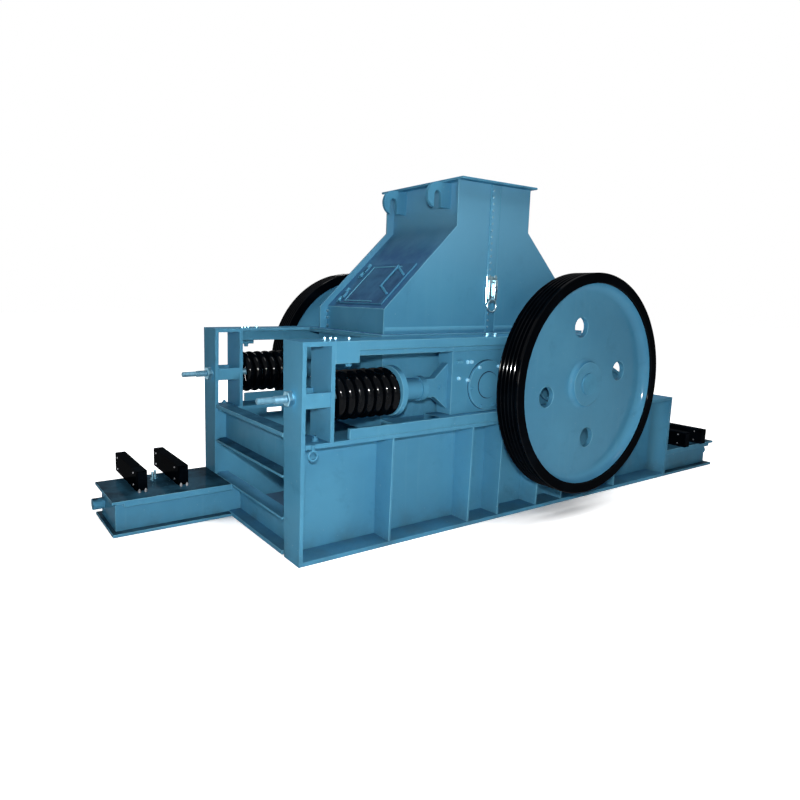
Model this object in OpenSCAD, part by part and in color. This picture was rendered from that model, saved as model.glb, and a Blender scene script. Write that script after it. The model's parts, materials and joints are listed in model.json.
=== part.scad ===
// Double roll crusher: welded side girders, open feed hopper, one fixed roll,
// one spring-held roll in sliding bearing blocks, a grooved sheave on each shaft
// and a motor base at each end. Millimetres, Z up, ground at Z = 0, X along the frame,
// the spring end at -X and the fixed roll's sheave on the -Y side.

/* [Frame] */
// Length over the end plates
frame_length = 2900; // [2600:10:3200]
// Height of the long side girders
girder_height = 554; // [480:1:620]
// Width over the girders at their top flange
top_width = 1154; // [1060:2:1260]
// Width over the girders at their bottom flange
base_width = 1130; // [1040:2:1240]
// Width of a column's front plate at the top
leg_width = 177; // [150:1:200]
// Width of a column's front plate at the ground
foot_width = 140; // [110:1:170]
// Thickness of flanges and end plates
flange_t = 20; // [14:1:26]
// Thickness of the girder webs
web_t = 15; // [10:1:20]
// Web's outer face in from the top flange edge
web_inset = 137; // [110:1:150]
// Thickness of the outside ribs
rib_t = 12; // [8:1:18]
// Rib pair half spacing under each shaft
rib_pair = 112; // [90:1:140]
// Outer ribs, out from the nearest shaft
rib_reach = 635; // [500:5:800]
// Ribs stand back from the flange edges
rib_back = 5; // [2:1:15]
// Slot in the web, in from the column
slot_start = 165; // [120:5:220]
// Length of the slot in the web
slot_length = 106; // [60:2:140]
// Height of the slot in the web
slot_height = 34; // [20:1:50]

/* [Cross members] */
// Upper channel's top above the girders
upper_rise = 23; // [21:1:40]
// Height of the upper channel
upper_height = 210; // [160:2:260]
// Height of the lower channel
lower_height = 180; // [160:2:240]
// Depth of the cross channels along the frame
channel_depth = 82; // [60:1:110]

/* [Columns and guides] */
// Depth of a spring-end column along the frame
column_depth = 164; // [130:2:200]
// Height of a column's cross bars at the rod
band_height = 66; // [50:1:90]
// Thickness of a cross bar
band_t = 18; // [10:1:30]
// Cross bars stand back from the column's edges
band_back = 3; // [1:1:8]
// Guides start this far out from the top plates' inner edge
guide_step = 30; // [20:1:40]
// Thickness of the lower guide rail
rail_t = 49; // [30:1:60]
// Clear height between the guide rail and the liner over it
guide_height = 327; // [300:1:380]
// Free end of the guide rail, in from the column
rail_setback = 84; // [50:2:120]
// Solid ledge of the guide rail ahead of the sliding block
ledge_lead = 90; // [60:2:120]
// Thickness of the guide rail's outer strip ahead of the ledge
strip_t = 22; // [14:1:30]
// Depth of the top beam's outer face
beam_face = 43; // [36:1:60]
// Depth of the liner under the top beam
liner_t = 27; // [15:1:34]
// Length of the stop bracket beside a column
bracket_length = 129; // [90:1:180]
// Gap between the liner and the beam's outer face plate
liner_gap = 12; // [6:1:20]
// Thickness of the stop bracket across the frame
bracket_t = 45; // [30:1:50]
// Drop of the stop bracket below the beam
bracket_drop = 56; // [40:1:70]
// Length of the short column behind the fixed block
tail_length = 80; // [60:2:120]
// Reach of the sloping brace behind a short column
brace_length = 675; // [500:5:720]
// Thickness of the brace's plate and of its sloping flange
brace_t = 20; // [12:1:30]
// Width of the brace's sloping flange
brace_w = 90; // [50:2:120]
// Height of the brace's plate at its far end
brace_foot = 40; // [25:1:70]
// Brace starts this far below the top beam
brace_drop = 22; // [10:1:60]

/* [Rolls] */
// Height of both roll shafts over the guide rail
shaft_rise = 142; // [130:1:170]
// Distance between the shafts
roll_spacing = 540; // [536:1:560]
// Diameter of the rolls
roll_d = 520; // [460:2:526]
// Length of the rolls
roll_length = 580; // [480:2:590]
// Diameter of the shafts
shaft_d = 120; // [90:1:140]
// Shaft's hole in the casing is wider by this much
casing_hole_gap = 24; // [16:1:40]
// Shaft's slot in the casing, for the moving roll
slot_travel = 40; // [35:1:60]
// Radial running clearance of the shafts and rods
run_gap = 0.05; // [0.01:0.01:0.10]

/* [Bearing blocks] */
// Length of a bearing block
block_length = 490; // [440:2:496]
// Thickness of a bearing block across the frame
block_width = 106; // [80:2:120]
// Sliding gap above and below a bearing block
slide_gap = 0.3; // [0.2:0.1:0.5]
// Diameter of the bearing cover
cover_d = 260; // [200:2:300]
// Diameter of the cover's raised centre
boss_d = 136; // [130:1:150]
// Thickness of the bearing cover
cover_t = 15; // [8:1:20]
// Height of the cover's raised centre over the cover
boss_t = 7; // [3:1:12]
// Centre line of rods and blocks across the frame
rod_y = 477; // [470:1:490]

/* [Springs and rods] */
// Outside diameter of the springs
spring_od = 234; // [200:2:250]
// Diameter of the spring wire
wire_d = 42; // [30:1:44]
// Open turns of each spring
spring_turns = 5; // [4:1:5]
// Diameter of the rods
rod_d = 36; // [28:1:44]
// Rod beyond the column
rod_out = 165; // [120:5:220]
// Diameter of the rod's turned-down tip
rod_tip_d = 30; // [20:1:34]
// Length of the rod's turned-down tip
rod_tip = 54; // [30:2:64]
// Width of the nut over its flats
nut_af = 66; // [52:1:80]
// Thickness of the nut
nut_t = 50; // [30:1:60]
// Diameter of the spring seat
seat_d = 244; // [236:2:260]
// Thickness of the spring seat
seat_t = 31; // [20:1:50]
// Spring length in the frame
spring_length = 366; // [356:1:378]
// Diameter of the thrust hub
hub_d = 108; // [80:1:120]
// Length of the thrust hub
hub_length = 145; // [120:1:160]
// Diameter of the thrust collar
collar_d = 124; // [112:1:136]
// Length of the thrust collar
collar_length = 32; // [20:1:50]
// Thickness of the flared thrust fork
fork_t = 44; // [30:1:80]
// Half height of the fork where it leaves the collar
fork_root = 48; // [36:1:56]
// Length of the fork from the collar to the bearing block
fork_length = 157; // [140:1:180]
// Straight length of the fork behind the collar
fork_lead = 72; // [40:1:90]
// Fork's reach above the rod at the block
fork_up = 122; // [90:1:150]
// Fork's reach below the rod at the block
fork_down = 114; // [90:1:135]

/* [Sheaves] */
// Outside diameter of the sheaves
sheave_d = 1200; // [1000:10:1280]
// Width of the sheave rims
sheave_w = 137; // [120:1:160]
// Outer face of a rim from the frame's centre
sheave_out = 798; // [770:1:850]
// Radial thickness of the rim
rim_t = 55; // [45:1:70]
// Number of belt grooves
groove_count = 5; // [3:1:5]
// Pitch of the belt grooves
groove_pitch = 24; // [20:1:25]
// Depth of the belt grooves
groove_depth = 17; // [12:1:20]
// Thickness of the sheave's disc
disc_t = 30; // [20:1:40]
// Disc's outer face in from the rim's face
disc_inset = 58; // [40:1:70]
// First groove in from the rim's inner face
groove_start = 16; // [12:1:20]
// Width of a groove at the tread
groove_w = 18; // [14:1:19]
// Width of a groove at its root
groove_root = 10; // [6:1:12]
// Radius between the disc and the inside of the rim
rim_fillet = 48; // [20:1:52]
// Diameter of the sheave's hub
sheave_hub_d = 240; // [200:2:280]
// Height of the hub's face over the disc
hub_rise = 30; // [16:1:40]
// Radius at the foot of the hub
hub_fillet = 22; // [8:1:28]
// Diameter of the four holes in the disc
hole_d = 110; // [70:2:130]
// Radius of the hole circle
hole_r = 312; // [280:2:360]
// First hole's turn from the level
hole_turn = 10; // [0:1:45]
// Shaft ends this far inside the rim's face
shaft_back = 20; // [10:1:40]

/* [Casing and hopper] */
// Middle of the hopper, from the middle of the rolls towards the springs
hopper_shift = 42; // [30:1:60]
// Length of the casing and the hopper's foot
foot_length = 1510; // [1400:10:1560]
// Length of the hopper's neck
neck_length = 564; // [500:4:640]
// Width of the casing and the hopper
hopper_width = 634; // [610:2:660]
// Thickness of the casing and hopper plates
plate_t = 12; // [8:1:16]
// Height of the casing's top flange over the shafts
casing_rise = 249; // [240:1:265]
// Height of the hopper's straight foot
foot_height = 138; // [90:2:180]
// Height of the hopper's slope
slope_rise = 448; // [400:2:500]
// Height of the hopper's neck
neck_height = 253; // [200:1:320]
// Side plates stand out from the front plate
lip = 50; // [30:1:70]
// Rim flange of the mouth, out from the side plates
rim_out = 39; // [20:1:50]
// Casing hangs below its flange
casing_drop = 70; // [40:2:90]
// Gap between the casing's flange and the guides
casing_gap = 2; // [1:1:5]

/* [Hatch and lugs] */
// Length of the hatch up the slope
hatch_length = 320; // [260:5:360]
// Width of the hatch
hatch_width = 420; // [340:5:430]
// Hatch's lower edge up from the lower bend
hatch_start = 30; // [20:1:60]
// Thickness of the hatch
hatch_t = 8; // [6:1:12]
// Hatch laps over the edge of its opening
hatch_lap = 25; // [15:1:40]
// Hatch stands in from the middle of its widest place
hatch_side = 10; // [4:1:20]
// Diameter of the hinge barrels
barrel_d = 22; // [18:1:28]
// Length of one hinge barrel
barrel_length = 30; // [24:1:36]
// Length of a whole hinge
hinge_span = 103; // [90:1:120]
// Hinges in from the hatch's ends
hinge_inset = 5; // [3:1:20]
// Thickness of the hinge leaves
leaf_t = 5; // [3:1:8]
// Reach of a fixed hinge leaf past its barrel
leaf_reach = 24; // [14:1:30]
// Reach of a moving leaf over the hatch
knuckle_reach = 12; // [8:1:20]
// Diameter of the hinge pins
pin_d = 10; // [6:1:12]
// Start of the handle up the hatch
handle_start = 75; // [40:1:110]
// Length of the handle
handle_span = 151; // [110:1:180]
// Height of the handle over the hatch
handle_rise = 60; // [40:1:80]
// Handle in from the hatch's free edge
handle_edge = 22; // [14:1:60]
// Diameter of the handle's bar
handle_d = 14; // [10:1:20]
// Lifting lugs out from the centre
lug_y = 195; // [150:5:230]
// Thickness of the lifting lugs
lug_t = 20; // [12:1:25]
// Outer radius of a lug's hook
lug_r = 70; // [60:1:80]
// Lug's eye out from the hopper's end plate
lug_reach = 97; // [90:1:120]
// Height of a lug's stem
lug_stem = 134; // [120:1:140]
// Eye and throat of a lug
lug_hole_d = 50; // [36:1:60]
// Gap between the lugs and the rim over them
lug_gap = 2; // [1:1:6]

/* [Motor bases] */
// Length of a motor base beyond the frame
base_length = 620; // [500:10:760]
// Height of a motor base
base_height = 180; // [140:5:220]
// Inner edge of a motor base from the centre
base_inner = 177; // [120:1:230]
// Plate thickness of the motor bases
base_t = 15; // [10:1:20]
// Side webs of a motor base, in from its edge
base_web = 45; // [25:1:55]
// End web of a motor base, in from its end
base_end = 23; // [15:1:35]
// Cover lip of a motor base, down from its top
base_lip = 33; // [20:1:50]
// Thickness of the cover lip
lip_t = 10; // [6:1:12]
// Cover lip, in from the base's end
lip_in = 56; // [40:1:80]
// Corner cut from the web where it enters the lower channel
tongue_cut = 44; // [20:1:60]
// Width of a motor base's foot flange
base_foot = 73; // [50:1:90]
// Diameter of the boss for the tension screw
screw_d = 60; // [40:1:76]
// Screw boss in from the base's outer edge
screw_side = 95; // [80:1:140]
// Screw boss beyond the base's end
screw_out = 35; // [20:1:50]
// Width of a motor rail
rail_w = 56; // [40:1:70]
// Height of a motor rail
rail_h = 105; // [80:1:130]
// Length of a motor rail
rail_length = 443; // [380:1:500]
// First rail in from the base's end
rail_first = 175; // [140:1:200]
// Distance between the two rails
rail_pitch = 217; // [180:1:260]
// Plate thickness of a motor rail
motor_rail_t = 9; // [6:1:12]
// Left rails reach past the frame's side by
left_over = 170; // [120:5:180]
// Right rails reach past the frame's side by
right_over = 17; // [0:1:60]

/* [Hidden] */
half = frame_length / 2;
y_top = top_width / 2;
y_base = base_width / 2;
y_leg = y_top - leg_width;
y_foot = y_base - foot_width;
web_out = y_top - web_inset;
web_in = web_out - web_t;
x_front = -half + flange_t;
x_back = -half + column_depth;
x_tail = half - flange_t;
rail_z = girder_height + rail_t;
shaft_z = rail_z + shaft_rise;
liner_z = rail_z + guide_height;
beam_z = liner_z + liner_t;
frame_height = beam_z + beam_face;
casing_top = shaft_z + casing_rise;
bend_low = casing_top + foot_height;
bend_high = bend_low + slope_rise;
hopper_top = bend_high + neck_height;
block_z = rail_z + slide_gap;
block_top = liner_z - slide_gap;
block_in = rod_y - block_width / 2;
block_out = rod_y + block_width / 2;
guide_in = y_leg + guide_step;
seat_x = x_back + spring_length;
thrust_x = seat_x + seat_t;
hub_end = thrust_x + hub_length;
collar_end = hub_end + collar_length;
slide_face = collar_end + fork_length;
slide_x = slide_face + block_length / 2;
fixed_x = slide_x + roll_spacing;
tail_x = fixed_x + block_length / 2;
hopper_x = (slide_x + fixed_x) / 2 - hopper_shift;
foot_left = hopper_x - foot_length / 2;
foot_right = hopper_x + foot_length / 2;
neck_left = hopper_x - neck_length / 2;
neck_right = hopper_x + neck_length / 2;
side_y = hopper_width / 2;
inner_y = side_y - plate_t;
slope_run = neck_left - foot_left;
slope_angle = atan2(slope_rise, slope_run);
casing_bottom = girder_height - casing_drop;
hatch_y = hatch_width / 2 - hatch_side;
fine = 96;
shaft_hole = shaft_d + casing_hole_gap;
upper_top = girder_height + upper_rise;
upper_z = upper_top - upper_height;

// A box from its two opposite corners
module span(a, b) {
  translate(a) cube([b[0] - a[0], b[1] - a[1], b[2] - a[2]]);
}

// Outline in the X-Z plane, extruded across the frame from y1 to y2
module across(y1, y2) {
  translate([0, y2, 0]) rotate([90, 0, 0]) linear_extrude(height = y2 - y1) children();
}

// Outline in the Y-Z plane, extruded along the frame from x1 to x2
module along(x1, x2) {
  translate([x1, 0, 0]) rotate([90, 0, 90]) linear_extrude(height = x2 - x1) children();
}

// Round bar along X
module bar_x(x1, x2, d) {
  translate([x1, 0, 0]) rotate([0, 90, 0]) cylinder(h = x2 - x1, d = d, $fn = fine);
}

// Round bar along Y
module bar_y(y1, y2, d) {
  translate([0, y1, 0]) rotate([-90, 0, 0]) cylinder(h = y2 - y1, d = d, $fn = fine);
}

// Puts a near-side (-Y) piece on the side asked for
module side(near) {
  if (near) mirror([0, 1, 0]) children();
  else children();
}

// ---- side girders ----

// Tapered outline of a front or end plate
module leg_outline(h) {
  share = h / frame_height;
  polygon([
    [y_foot, 0], [y_base, 0],
    [y_base + (y_top - y_base) * share, h], [y_foot + (y_leg - y_foot) * share, h]
  ]);
}

// Web, two flanges and the closing plate of the low end
module girder() {
  slot_x = x_back + slot_start;
  slot_top = girder_height - flange_t;
  difference() {
    span([x_front, web_in, flange_t], [x_tail, web_out, slot_top]);
    span([slot_x, web_in - 1, slot_top - slot_height], [slot_x + slot_length, web_out + 1, slot_top]);
  }
  span([x_front, y_leg, girder_height - flange_t], [x_tail, y_top, girder_height]);
  span([x_front, y_foot, 0], [x_tail, y_base, flange_t]);
  along(x_tail, half) leg_outline(girder_height);
}

// One tapered rib outside the web
module rib(x) {
  along(x - rib_t / 2, x + rib_t / 2) polygon([
    [web_out, flange_t], [y_base - rib_back, flange_t],
    [y_top - rib_back, girder_height - flange_t], [web_out, girder_height - flange_t]
  ]);
}

// The ribs stand in pairs under the shafts and once beyond each pair
module ribs() {
  for (x = [slide_x, fixed_x], s = [-1, 1]) rib(x + s * rib_pair);
  rib(slide_x - rib_reach);
  rib(fixed_x + rib_reach);
}

// Column: front plate to the ground, back plate, top plate, two cross bars, rod bores
module column() {
  difference() {
    union() {
      along(-half, x_front) leg_outline(frame_height);
      span([x_back - flange_t, y_leg, girder_height], [x_back, y_top, frame_height]);
      span([x_front, y_leg, frame_height - flange_t],
           [x_back - flange_t, y_top, frame_height]);
      for (y = [y_leg + band_back, y_top - band_back - band_t]) {
        span([x_front, y, shaft_z - band_height / 2],
             [x_back - flange_t, y + band_t, shaft_z + band_height / 2]);
      }
    }
    translate([0, rod_y, shaft_z]) bar_x(-half - 1, x_back + 1, rod_d + 2 * run_gap);
  }
}

// Sloping brace behind a short column, drop below its upper edge
module brace_outline(drop_1, drop_2) {
  x1 = tail_x + tail_length;
  polygon([
    [x1 - 1, drop_1], [x1 + brace_length, drop_2],
    [x1 + brace_length, girder_height + brace_foot], [x1 - 1, liner_z - brace_drop]
  ]);
}

// Short post that carries the top beam behind the fixed bearing block, with its brace
module tail_post() {
  span([tail_x, guide_in, girder_height], [tail_x + tail_length, y_top, liner_z]);
  across(rod_y - brace_t / 2, rod_y + brace_t / 2)
    brace_outline(girder_height, girder_height);
  across(rod_y - brace_w / 2, rod_y + brace_w / 2)
    brace_outline(liner_z - brace_drop - brace_t, girder_height + brace_foot - brace_t);
}

// Top beam: cover plate, outer face, liner that guides the blocks, stop bracket
module top_beam() {
  x2 = tail_x + tail_length;
  span([x_back, y_leg, frame_height - web_t], [x2, y_top, frame_height]);
  span([x_back, y_top - web_t, beam_z], [x2, y_top, frame_height - web_t]);
  span([x_back, guide_in, liner_z], [x2, y_top - web_t - liner_gap, frame_height - web_t]);
  span([x_back, y_top - bracket_t, beam_z - bracket_drop],
       [x_back + bracket_length, y_top, beam_z]);
}

// Lower guide rail: solid ledge under the bearing blocks, outer strip beside the spring
module guide_rail() {
  ledge_x = slide_face - ledge_lead;
  span([x_back + rail_setback, y_top - strip_t, girder_height], [ledge_x, y_top, rail_z]);
  span([ledge_x, guide_in, girder_height], [tail_x, y_top, rail_z]);
}

// ---- cross members ----

// Flange of a cross channel, notched round the columns' front plates
module cross_flange(z1, z2, depth) {
  translate([0, 0, z1]) linear_extrude(height = z2 - z1) polygon([
    [-half, -y_leg], [x_front, -y_leg], [x_front, -web_in], [-half + depth, -web_in],
    [-half + depth, web_in], [x_front, web_in], [x_front, y_leg], [-half, y_leg]
  ]);
}

// Upper cross channel, its web set back from the columns' front
module upper_channel_shape() {
  cross_flange(upper_top - flange_t, upper_top, channel_depth);
  cross_flange(upper_z, upper_z + plate_t, channel_depth);
  span([-half + channel_depth - plate_t, -web_in, upper_z + plate_t],
       [-half + channel_depth, web_in, girder_height - flange_t]);
  span([-half + channel_depth - plate_t, -y_leg, girder_height - flange_t],
       [-half + channel_depth, y_leg, upper_top - flange_t]);
}

// Lower cross channel between the two feet, open to the front as the upper one
module lower_channel_shape() {
  cross_flange(0, flange_t, channel_depth);
  cross_flange(lower_height - plate_t, lower_height, channel_depth);
  span([-half + channel_depth - plate_t, -web_in, flange_t],
       [-half + channel_depth, web_in, lower_height - plate_t]);
}

// Cross member of the low end, a channel as high as the girders
module tail_channel_shape() {
  span([x_tail - channel_depth, -web_in, 0], [x_tail - plate_t, web_in, flange_t]);
  span([x_tail - plate_t, -web_in, 0], [x_tail, web_in, girder_height - flange_t]);
  span([x_tail - channel_depth, -web_in, girder_height - 2 * flange_t],
       [x_tail - plate_t, web_in, girder_height - flange_t]);
}

// ---- motor bases ----

// Open-bottomed welded base: lipped cover, set-back webs, foot flanges and a screw boss
module motor_base() {
  x1 = -half - base_length;
  span([x1, base_inner, base_height - base_t], [-half, y_base, base_height]);
  for (y = [base_inner, y_base - lip_t]) {
    span([x1 + lip_in, y, base_height - base_lip], [-half, y + lip_t, base_height - base_t]);
  }
  for (y = [base_inner + base_web, y_base - base_web - base_t]) {
    span([x1 + base_end, y, base_t], [-half, y + base_t, base_height - base_t]);
  }
  span([x1 + base_end, base_inner + base_web, base_t],
       [x1 + base_end + base_t, y_base - base_web, base_height - base_t]);
  span([x1, base_inner, 0], [-half, base_inner + base_foot, base_t]);
  span([x1, y_base - base_foot, 0], [-half, y_base, base_t]);
  span([x1, base_inner, 0], [x1 + base_foot, y_base, base_t]);
  translate([0, y_base - screw_side, base_height / 2])
    bar_x(x1 - screw_out, x1 + base_end, screw_d);
}

// The base's inner web runs on into the lower channel, its corner cut off under the flange
module base_tongue() {
  tip = -half + channel_depth - plate_t;
  top = min(base_height - base_t, lower_height - plate_t);
  translate([0, base_inner + base_web + base_t, 0]) rotate([90, 0, 0])
    linear_extrude(height = base_t) polygon([
      [-half, flange_t], [tip, flange_t], [tip, top - tongue_cut],
      [tip - tongue_cut, top], [-half, top]
    ]);
}

// Two channel rails that the motor slides on, their open side to the machine
module motor_rails(over) {
  for (i = [0, 1]) {
    x = -half - base_length + rail_first - rail_w / 2 + i * rail_pitch;
    y = y_base + over - rail_length;
    translate([x, y, base_height]) difference() {
      cube([rail_w, rail_length, rail_h]);
      span([motor_rail_t, -1, motor_rail_t],
           [rail_w + 1, rail_length + 1, rail_h - motor_rail_t]);
    }
  }
}

// ---- casing and hopper ----

// Box round the rolls, open at top and bottom, with slots for the shafts
module casing_shape() {
  difference() {
    union() {
      span([foot_left, -side_y, casing_bottom], [foot_right, side_y, casing_top]);
      span([foot_left, -guide_in + casing_gap, girder_height],
           [foot_right, guide_in - casing_gap, girder_height + plate_t]);
      span([foot_left - rim_out, -side_y - rim_out, casing_top - plate_t],
           [foot_right + rim_out, side_y + rim_out, casing_top]);
    }
    span([foot_left + plate_t, -inner_y, casing_bottom - 1],
         [foot_right - plate_t, inner_y, casing_top + 1]);
    translate([fixed_x, 0, shaft_z]) bar_y(-side_y - 1, side_y + 1, shaft_hole);
    for (d = [-slot_travel, 0]) {
      translate([slide_x + d, 0, shaft_z]) bar_y(-side_y - 1, side_y + 1, shaft_hole);
    }
    span([slide_x - slot_travel, -side_y - 1, shaft_z - shaft_hole / 2],
         [slide_x, side_y + 1, shaft_z + shaft_hole / 2]);
  }
}

// Outline of a hopper side plate
module hopper_outline() {
  polygon([
    [foot_left, casing_top], [foot_right, casing_top], [foot_right, bend_low],
    [neck_right, bend_high], [neck_right, hopper_top - plate_t],
    [neck_left, hopper_top - plate_t], [neck_left, bend_high], [foot_left, bend_low]
  ]);
}

// Bent end plate of the hopper, set back behind the side plates' lips
module front_outline() {
  x1 = foot_left + lip;
  x2 = neck_left + lip;
  polygon([
    [x1, casing_top], [x1 + plate_t, casing_top], [x1 + plate_t, bend_low],
    [x2 + plate_t, bend_high], [x2 + plate_t, hopper_top - plate_t],
    [x2, hopper_top - plate_t], [x2, bend_high], [x1, bend_low]
  ]);
}

// Moves to the front slope: X up the slope, Z out of the plate
module on_slope() {
  translate([foot_left + lip, 0, bend_low]) rotate([0, -slope_angle, 0]) children();
}

// Hopper body: two side plates, two bent end plates, foot flange, inspection opening
module hopper_shape() {
  difference() {
    union() {
      across(inner_y, side_y) hopper_outline();
      across(-side_y, -inner_y) hopper_outline();
      across(-inner_y, inner_y) front_outline();
      translate([2 * hopper_x, 0, 0]) mirror([1, 0, 0])
        across(-inner_y, inner_y) front_outline();
      difference() {
        span([foot_left - rim_out, -side_y - rim_out, casing_top],
             [foot_right + rim_out, side_y + rim_out, casing_top + plate_t]);
        span([foot_left + plate_t, -inner_y, casing_top - 1],
             [foot_right - plate_t, inner_y, casing_top + plate_t + 1]);
      }
    }
    on_slope() span([hatch_start + hatch_lap, -hatch_y + hatch_lap, -3 * plate_t],
                    [hatch_start + hatch_length - hatch_lap, hatch_y - hatch_lap, plate_t]);
  }
}

// Angle rim round the mouth
module hopper_rim_shape() {
  z1 = hopper_top - plate_t;
  difference() {
    span([neck_left - plate_t, -side_y - rim_out, z1],
         [neck_right + plate_t, side_y + rim_out, hopper_top]);
    span([neck_left + lip, -inner_y, z1 - 1],
         [neck_right - lip, inner_y, hopper_top + 1]);
  }
}

lug_top = hopper_top - plate_t - lug_gap;
// Hook-shaped lifting lug: round head, open throat underneath, stem to the neck
module lug(y) {
  x2 = neck_left + lip;
  xc = x2 - lug_reach;
  zc = lug_top - lug_r;
  across(y - lug_t / 2, y + lug_t / 2) difference() {
    union() {
      translate([xc, zc]) circle(r = lug_r, $fn = fine);
      translate([xc, lug_top - lug_stem]) square([lug_reach, lug_stem]);
    }
    translate([xc, zc]) circle(d = lug_hole_d, $fn = fine);
    translate([xc - lug_hole_d / 2, zc - 2 * lug_r]) square([lug_hole_d, 2 * lug_r]);
  }
}

module lifting_lugs_shape() {
  lug(lug_y);
  lug(-lug_y);
}

barrel_z = barrel_d / 2 + 1;
barrel_y = hatch_y + barrel_d / 2 + 2;
knuckle_from = barrel_length + 1;
knuckle_to = hinge_span - barrel_length - 1;
// Stations of the two hinges up the slope
function hinge_at(i) =
  hatch_start + hinge_inset + i * (hatch_length - 2 * hinge_inset - hinge_span);

// Fixed halves of the two hatch hinges: outer barrels, pin and leaf
module hatch_hinges_shape() {
  on_slope() for (i = [0, 1]) translate([hinge_at(i), barrel_y, 0]) {
    for (x = [0, hinge_span - barrel_length]) {
      translate([0, 0, barrel_z]) bar_x(x, x + barrel_length, barrel_d);
      span([x, 0, 0], [x + barrel_length, barrel_d / 2 + leaf_reach, leaf_t]);
      span([x, 0, 0], [x + barrel_length, leaf_t, barrel_z]);
    }
    translate([0, 0, barrel_z]) bar_x(0, hinge_span, pin_d);
  }
}

// Inspection hatch with its moving hinge barrels and bow handle
module hatch_shape() {
  leaf_y = barrel_d / 2 + knuckle_reach;
  on_slope() {
    span([hatch_start, -hatch_y, slide_gap],
         [hatch_start + hatch_length, hatch_y, hatch_t + slide_gap]);
    for (i = [0, 1]) translate([hinge_at(i), barrel_y, barrel_z]) difference() {
      union() {
        bar_x(knuckle_from, knuckle_to, barrel_d);
        span([knuckle_from, -leaf_y, 2], [knuckle_to, 0, barrel_d / 2]);
        span([knuckle_from, -leaf_y, hatch_t - barrel_z],
             [knuckle_to, leaf_t - leaf_y + 2, leaf_t - 2]);
      }
      bar_x(0, hinge_span, pin_d + 2 * run_gap);
    }
    translate([hatch_start + handle_start, handle_edge - hatch_y, hatch_t]) {
      for (x = [0, handle_span])
        translate([x, 0, 0]) cylinder(h = handle_rise, d = handle_d, $fn = 32);
      translate([0, 0, handle_rise])
        bar_x(-handle_d / 2, handle_span + handle_d / 2, handle_d);
    }
  }
}

// ---- bearing blocks ----

// Bearing block with cover; a through cover lets the shaft out to the sheave
module bearing_block(x, through) {
  zc = shaft_z;
  difference() {
    union() {
      across(block_in, block_out) polygon([
        [x - block_length / 2, block_z], [x + block_length / 2, block_z],
        [x + block_length / 2, block_top], [x - block_length / 2, block_top]
      ]);
      translate([x, 0, zc]) bar_y(block_out, block_out + cover_t, cover_d);
      translate([x, 0, zc]) bar_y(block_out, block_out + cover_t + boss_t, boss_d);
    }
    translate([x, 0, zc]) bar_y(block_in - 1, block_out + (through ? cover_t + boss_t + 1 : 1),
                                shaft_d + 2 * run_gap);
  }
}

// Thrust fork: spring seat, hub, collar and the flared plate welded to the block
module thrust_fork() {
  difference() {
    union() {
      translate([0, rod_y, shaft_z]) {
        bar_x(seat_x, thrust_x, seat_d);
        bar_x(thrust_x, hub_end, hub_d);
        bar_x(hub_end, collar_end, collar_d);
      }
      across(rod_y - fork_t / 2, rod_y + fork_t / 2) polygon([
        [collar_end - 1, shaft_z - fork_root], [collar_end + fork_lead, shaft_z - fork_root],
        [slide_face, shaft_z - fork_down], [slide_face, shaft_z + fork_up],
        [collar_end + fork_lead, shaft_z + fork_root], [collar_end - 1, shaft_z + fork_root]
      ]);
    }
    translate([0, rod_y, shaft_z]) bar_x(seat_x - 1, hub_end, rod_d);
  }
}

// Rod with its nut outside the column
module rod() {
  translate([0, rod_y, shaft_z]) {
    bar_x(-half - rod_out, -half - rod_out + rod_tip, rod_tip_d);
    bar_x(-half - rod_out + rod_tip, hub_end, rod_d);
    translate([-half - nut_t - slide_gap, 0, 0]) rotate([0, 90, 0]) rotate([0, 0, 30])
      cylinder(h = nut_t, d = nut_af / cos(30), $fn = 6);
  }
}

// ---- compression spring ----

wire_sides = 10;
turn_steps = 20;
end_turns = 1;
grind = wire_d * 0.3;
coil_r = (spring_od - wire_d) / 2;
total_turns = spring_turns + 2 * end_turns;
open_pitch = (spring_length - 2 * (wire_d / 2 - grind) - 2 * end_turns * wire_d) / spring_turns;
// Axial place of the wire after t turns: closed end turns, open middle turns
function coil_x(t) = wire_d / 2 - grind + (
  t < end_turns ? t * wire_d :
  t < end_turns + spring_turns ? end_turns * wire_d + (t - end_turns) * open_pitch :
  end_turns * wire_d + spring_turns * open_pitch + (t - end_turns - spring_turns) * wire_d);
function wire_point(i, j) =
  let (t = i / turn_steps, a = 360 * t, b = 360 * j / wire_sides,
       r = coil_r + wire_d / 2 * cos(b))
  [coil_x(t) + wire_d / 2 * sin(b), r * cos(a), r * sin(a)];

// Helical spring with closed ends ground flat, swept round wire
module spring() {
  rings = total_turns * turn_steps;
  points = [for (i = [0 : rings], j = [0 : wire_sides - 1]) wire_point(i, j)];
  sides = [for (i = [0 : rings - 1], j = [0 : wire_sides - 1]) let (k = (j + 1) % wire_sides)
    [i * wire_sides + j, i * wire_sides + k, (i + 1) * wire_sides + k, (i + 1) * wire_sides + j]];
  cap1 = [[for (j = [wire_sides - 1 : -1 : 0]) j]];
  cap2 = [[for (j = [0 : wire_sides - 1]) rings * wire_sides + j]];
  translate([x_back, rod_y, shaft_z]) intersection() {
    polyhedron(points = points, faces = concat(sides, cap1, cap2), convexity = 10);
    span([0, -spring_od, -spring_od], [spring_length, spring_od, spring_od]);
  }
}

// ---- rolls, shafts and sheaves ----

module roll(x) {
  translate([x, 0, shaft_z]) difference() {
    bar_y(-roll_length / 2, roll_length / 2, roll_d);
    bar_y(-roll_length / 2 - 1, roll_length / 2 + 1, shaft_d);
  }
}

// Shaft from the blind bearing cover to the sheave's hub
module shaft(x) {
  translate([x, 0, shaft_z]) bar_y(-block_out, sheave_out - shaft_back, shaft_d);
}

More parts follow.
